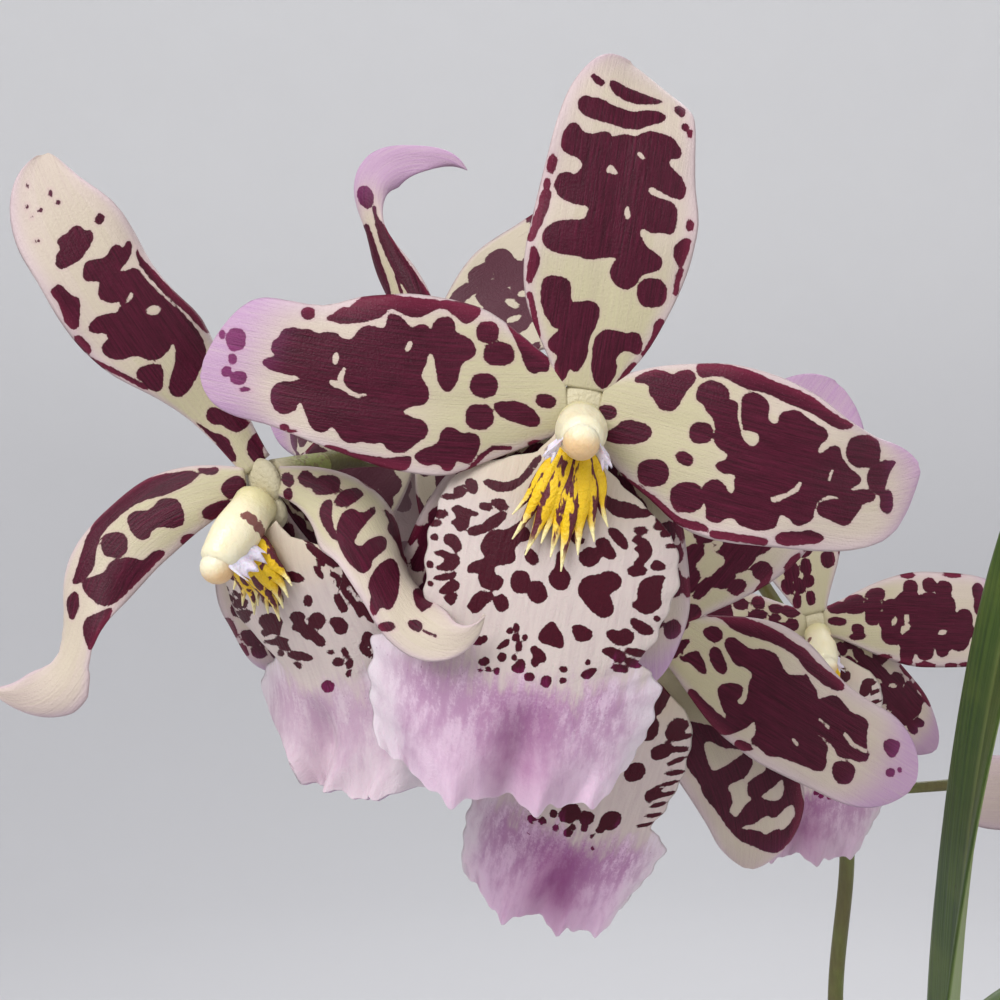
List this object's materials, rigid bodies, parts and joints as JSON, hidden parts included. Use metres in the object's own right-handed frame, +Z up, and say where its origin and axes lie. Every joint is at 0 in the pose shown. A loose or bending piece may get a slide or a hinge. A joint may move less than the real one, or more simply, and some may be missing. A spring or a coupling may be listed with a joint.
{
  "type": "potted aliceara orchid",
  "caption": "Potted orchid: an arching spray of marbled blooms with ruffled lips on flattened bulbs with strap leaves, in bark in a clay pot.",
  "frame": {"origin": "middle of the pot's flat foot, on the surface that the pot stands on", "axes": "+Z up, along the pot's axis; the blooms look towards -Y; +X is to the right as seen by somebody who looks at the blooms from the front"},
  "size_m": [0.5461, 0.4301, 0.6165],
  "materials": {
    "tepal": "satin, marbled maroon on cream with lilac tips",
    "lip": "satin, maroon spots on pink above a lilac blade",
    "crest": "satin yellow with maroon lines",
    "column": "waxy cream",
    "stem": "satin green",
    "bud": "satin green flushed maroon",
    "bulb": "satin green",
    "sheath": "dry papery tan",
    "leaf": "satin olive green",
    "bark": "rough brown",
    "pot": "unglazed fired clay"
  },
  "bodies": {
    "root": {"bark": "bark", "bloom_a_column": "column", "bloom_a_crest": "crest", "bloom_a_lip": "lip", "bloom_a_sepals_petals": "tepal", "bloom_b_column": "column", "bloom_b_crest": "crest", "bloom_b_lip": "lip", "bloom_b_sepals_petals": "tepal", "bloom_c_column": "column", "bloom_c_crest": "crest", "bloom_c_lip": "lip", "bloom_c_sepals_petals": "tepal", "bloom_d_column": "column", "bloom_d_crest": "crest", "bloom_d_lip": "lip", "bloom_d_sepals_petals": "tepal", "bloom_f_column": "column", "bloom_f_crest": "crest", "bloom_f_lip": "lip", "bloom_f_sepals_petals": "tepal", "bloom_g_column": "column", "bloom_g_crest": "crest", "bloom_g_lip": "lip", "bloom_g_sepals_petals": "tepal", "bulb_back": "bulb", "bulb_lead": "bulb", "bulb_second": "bulb", "flower_stem": "stem", "leaf_lead_inner": "leaf", "leaf_lead_outer": "leaf", "leaf_lead_right": "leaf", "leaf_lead_tall": "leaf", "leaf_new_left": "leaf", "leaf_new_right": "leaf", "leaf_new_tall": "leaf", "leaf_second_left": "leaf", "leaf_second_outer": "leaf", "leaf_second_right": "leaf", "pot": "pot", "sheath_back": "sheath", "sheath_lead": "sheath", "sheath_second": "sheath", "tip_bud": "bud"}
  },
  "joints": []
}
